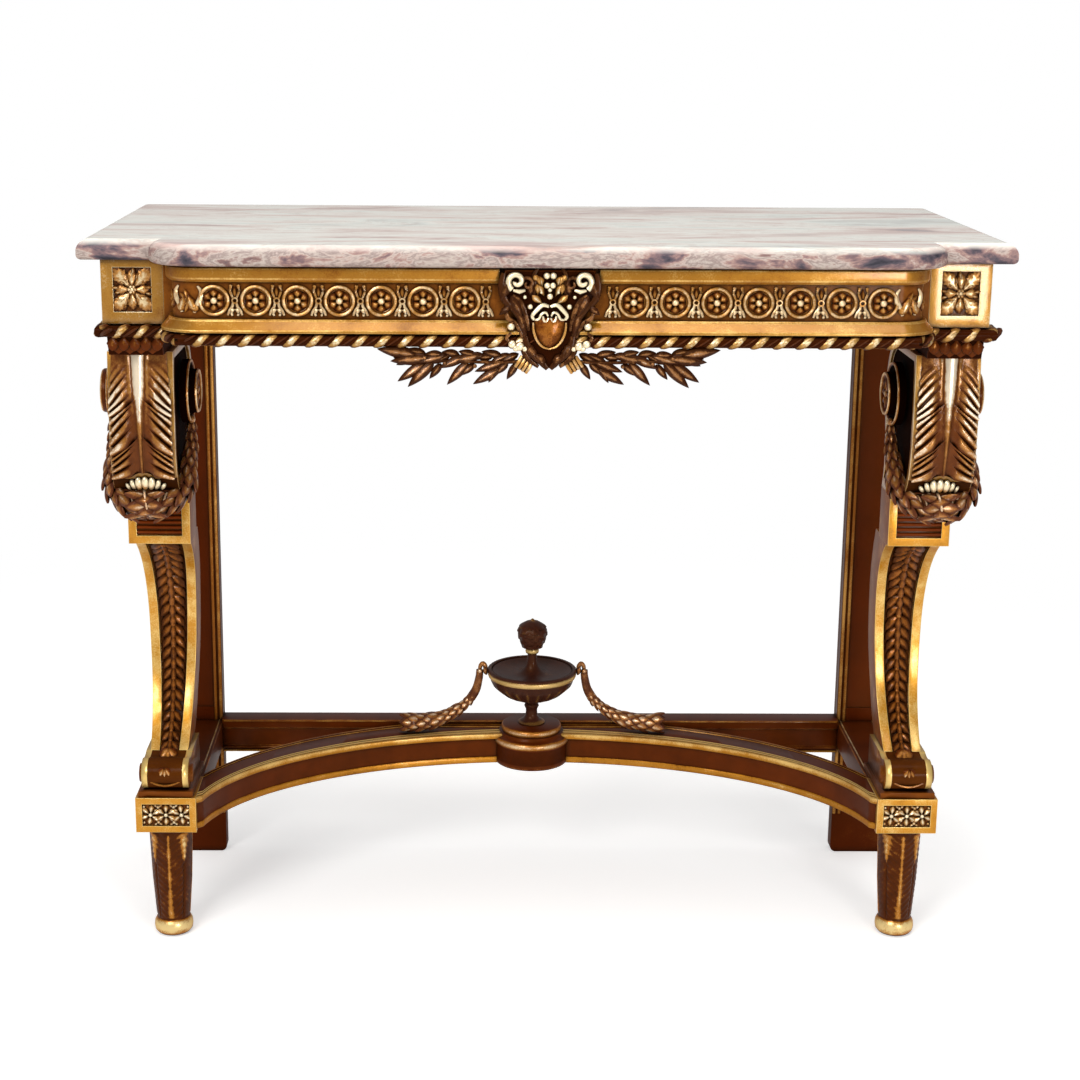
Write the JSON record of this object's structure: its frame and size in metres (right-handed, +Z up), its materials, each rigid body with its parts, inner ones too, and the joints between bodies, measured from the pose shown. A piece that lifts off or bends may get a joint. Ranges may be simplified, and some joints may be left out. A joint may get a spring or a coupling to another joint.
{
  "type": "pier table",
  "caption": "Carved and gilded console table with a loose moulded marble slab, scrolled front legs, flat back posts and a bowed stretcher with an urn.",
  "frame": {"origin": "on the floor under the middle of the slab's outline (bottom centre of the bounding box)", "axes": "+Z up, +X along the width to the viewer's right, -Y is the front and +Y the wall side"},
  "size_m": [1.08, 0.515, 0.933],
  "materials": {
    "marble": "polished",
    "gilded_wood": "burnished bronze gilding rubbed back to brown",
    "bronzed_wood": "satin",
    "beech": "bare",
    "steel": "plain"
  },
  "bodies": {
    "stand": {"back_rail": "bronzed_wood", "back_stretcher": "bronzed_wood", "cartouche_beads": "gilded_wood", "cartouche_ground": "gilded_wood", "cartouche_shield": "gilded_wood", "cartouche_volutes": "gilded_wood", "centre_bearer": "beech", "corner_glue_blocks": "beech", "corner_rosettes": "gilded_wood", "frieze_carvings": "gilded_wood", "front_lower_moulding": "gilded_wood", "front_rail": "gilded_wood", "front_rope": "gilded_wood", "front_upper_moulding": "gilded_wood", "glue_block_screws": "steel", "husk_chains": "gilded_wood", "joint_dowels": "beech", "left_acanthus_leaf": "gilded_wood", "left_back_post": "bronzed_wood", "left_corner_block": "gilded_wood", "left_corner_rope": "gilded_wood", "left_foot_scroll": "gilded_wood", "left_laurel_spray": "bronzed_wood", "left_leaf_collar": "gilded_wood", "left_leg": "gilded_wood", "left_leg_garland": "bronzed_wood", "left_plinth_block": "gilded_wood", "left_scroll_head": "gilded_wood", "left_side_rail": "gilded_wood", "left_side_stretcher": "bronzed_wood", "left_stretcher_arm": "bronzed_wood", "left_turned_foot": "bronzed_wood", "left_urn_garland": "bronzed_wood", "plinth_carvings": "gilded_wood", "right_acanthus_leaf": "gilded_wood", "right_back_post": "bronzed_wood", "right_corner_block": "gilded_wood", "right_corner_rope": "gilded_wood", "right_foot_scroll": "gilded_wood", "right_laurel_spray": "bronzed_wood", "right_leaf_collar": "gilded_wood", "right_leg": "gilded_wood", "right_leg_garland": "bronzed_wood", "right_plinth_block": "gilded_wood", "right_scroll_head": "gilded_wood", "right_side_rail": "gilded_wood", "right_side_stretcher": "bronzed_wood", "right_stretcher_arm": "bronzed_wood", "right_turned_foot": "bronzed_wood", "right_urn_garland": "bronzed_wood", "scroll_eyes": "gilded_wood", "scroll_shells": "gilded_wood", "side_lower_mouldings": "gilded_wood", "side_upper_mouldings": "gilded_wood", "stretcher_boss": "bronzed_wood", "urn_bowl": "bronzed_wood", "urn_finial": "bronzed_wood", "urn_handles": "bronzed_wood", "urn_lid": "bronzed_wood"},
    "top": {"marble_top": "marble"}
  },
  "joints": [
    {"name": "top_lift", "type": "slide", "parent": "stand", "child": "top", "axis": [0, 0, 1], "range_m": [0, 0.15]}
  ]
}
